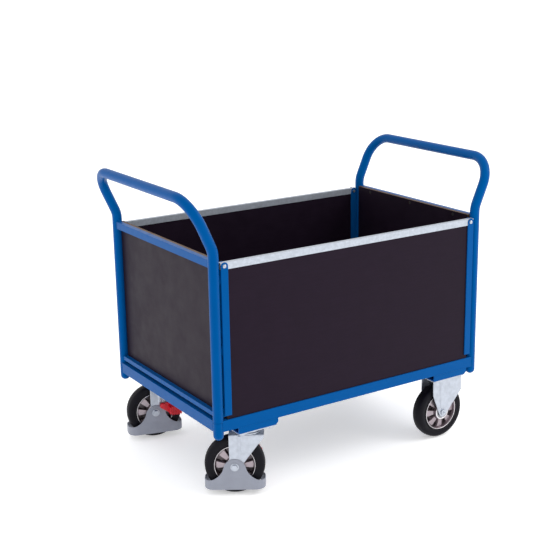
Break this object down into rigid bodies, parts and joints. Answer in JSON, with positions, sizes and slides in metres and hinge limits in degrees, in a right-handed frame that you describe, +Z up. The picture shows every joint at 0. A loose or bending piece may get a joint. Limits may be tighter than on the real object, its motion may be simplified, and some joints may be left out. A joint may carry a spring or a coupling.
{
  "type": "platform truck",
  "caption": "Flat truck with four board walls, tube end frames with bent push handles, a plywood deck, two braked swivel castors with foot guards and two fixed castors.",
  "frame": {"origin": "on the floor under the middle of the truck, at the bottom centre of its bounding box", "axes": "+X runs along the truck from the swivel castors to the fixed castors, +Y across it, +Z up"},
  "size_m": [1.2276, 0.7154, 1.0198],
  "materials": {
    "blue_paint": "gloss enamel, mid blue",
    "zinc": "bright zinc plate",
    "galvanised": "galvanised sheet",
    "film_ply": "plywood with a smooth dark phenolic film",
    "tyre": "black elastic rubber",
    "aluminium": "die-cast aluminium, satin",
    "guard_grey": "light grey powder coat",
    "pedal_red": "red plastic, semi-gloss",
    "black_screw": "black-oxide coated steel",
    "bearing_steel": "ground bearing steel"
  },
  "bodies": {
    "truck": {"side_member_near": "blue_paint", "side_member_far": "blue_paint", "end_member_left": "blue_paint", "end_member_right": "blue_paint", "corner_sockets": "blue_paint", "cross_bearers": "blue_paint", "castor_brackets": "blue_paint", "deck_board": "film_ply", "castor_bolts": "zinc", "board_screws": "black_screw", "handle_tube_left": "blue_paint", "handle_tube_right": "blue_paint", "crossbar_left": "blue_paint", "crossbar_right": "blue_paint", "lower_bar_left": "blue_paint", "lower_bar_right": "blue_paint", "end_board_left": "film_ply", "end_board_right": "film_ply", "wall_tongues": "blue_paint", "frame_screws": "zinc", "swivel_plates": "zinc", "kingpins": "zinc", "fixed_fork_near": "zinc", "fixed_fork_far": "zinc", "fixed_axle_bolts": "zinc", "fixed_axle_spacers": "zinc"},
    "near_wall": {"near_wall_board": "film_ply", "near_wall_rail": "galvanised", "near_wall_profiles": "blue_paint", "near_wall_bolts": "zinc"},
    "far_wall": {"far_wall_board": "film_ply", "far_wall_rail": "galvanised", "far_wall_profiles": "blue_paint", "far_wall_bolts": "zinc"},
    "near_castor": {"near_swivel_fork": "zinc", "near_swivel_race": "zinc", "near_axle_bolt": "zinc", "near_axle_spacer": "zinc", "near_foot_guard": "guard_grey", "near_pedal_pin": "zinc"},
    "near_pedal": {"near_brake_pedal": "pedal_red"},
    "far_castor": {"far_swivel_fork": "zinc", "far_swivel_race": "zinc", "far_axle_bolt": "zinc", "far_axle_spacer": "zinc", "far_foot_guard": "guard_grey", "far_pedal_pin": "zinc"},
    "far_pedal": {"far_brake_pedal": "pedal_red"},
    "near_left_wheel": {"near_left_tyre": "tyre", "near_left_rim": "aluminium", "near_left_bearings": "bearing_steel"},
    "far_left_wheel": {"far_left_tyre": "tyre", "far_left_rim": "aluminium", "far_left_bearings": "bearing_steel"},
    "near_right_wheel": {"near_right_tyre": "tyre", "near_right_rim": "aluminium", "near_right_bearings": "bearing_steel"},
    "far_right_wheel": {"far_right_tyre": "tyre", "far_right_rim": "aluminium", "far_right_bearings": "bearing_steel"}
  },
  "joints": [
    {"name": "near_castor_turn", "type": "hinge", "parent": "truck", "child": "near_castor", "pos_m": [-0.385, -0.291, 0.2], "axis": [0, 0, 1], "continuous": true},
    {"name": "far_castor_turn", "type": "hinge", "parent": "truck", "child": "far_castor", "pos_m": [-0.385, 0.291, 0.2], "axis": [0, 0, 1], "continuous": true},
    {"name": "near_left_wheel_spin", "type": "hinge", "parent": "near_castor", "child": "near_left_wheel", "pos_m": [-0.42693, -0.26377, 0.1], "axis": [0.5446, 0.8387, 0], "continuous": true},
    {"name": "far_left_wheel_spin", "type": "hinge", "parent": "far_castor", "child": "far_left_wheel", "pos_m": [-0.4333, 0.30394, 0.1], "axis": [0.2588, 0.9659, 0], "continuous": true},
    {"name": "near_right_wheel_spin", "type": "hinge", "parent": "truck", "child": "near_right_wheel", "pos_m": [0.41, -0.291, 0.1], "axis": [0, 1, 0], "continuous": true},
    {"name": "far_right_wheel_spin", "type": "hinge", "parent": "truck", "child": "far_right_wheel", "pos_m": [0.41, 0.291, 0.1], "axis": [0, 1, 0], "continuous": true},
    {"name": "near_pedal_press", "type": "hinge", "parent": "near_castor", "child": "near_pedal", "pos_m": [-0.40513, -0.27793, 0.125], "axis": [0.5446, 0.8387, 0], "range_deg": [0, 15]},
    {"name": "far_pedal_press", "type": "hinge", "parent": "far_castor", "child": "far_pedal", "pos_m": [-0.40818, 0.29721, 0.125], "axis": [0.2588, 0.9659, 0], "range_deg": [0, 15]},
    {"name": "near_wall_lift", "type": "slide", "parent": "truck", "child": "near_wall", "axis": [0, 0, 1], "range_m": [0, 0.5]},
    {"name": "far_wall_lift", "type": "slide", "parent": "truck", "child": "far_wall", "axis": [0, 0, 1], "range_m": [0, 0.5]}
  ]
}
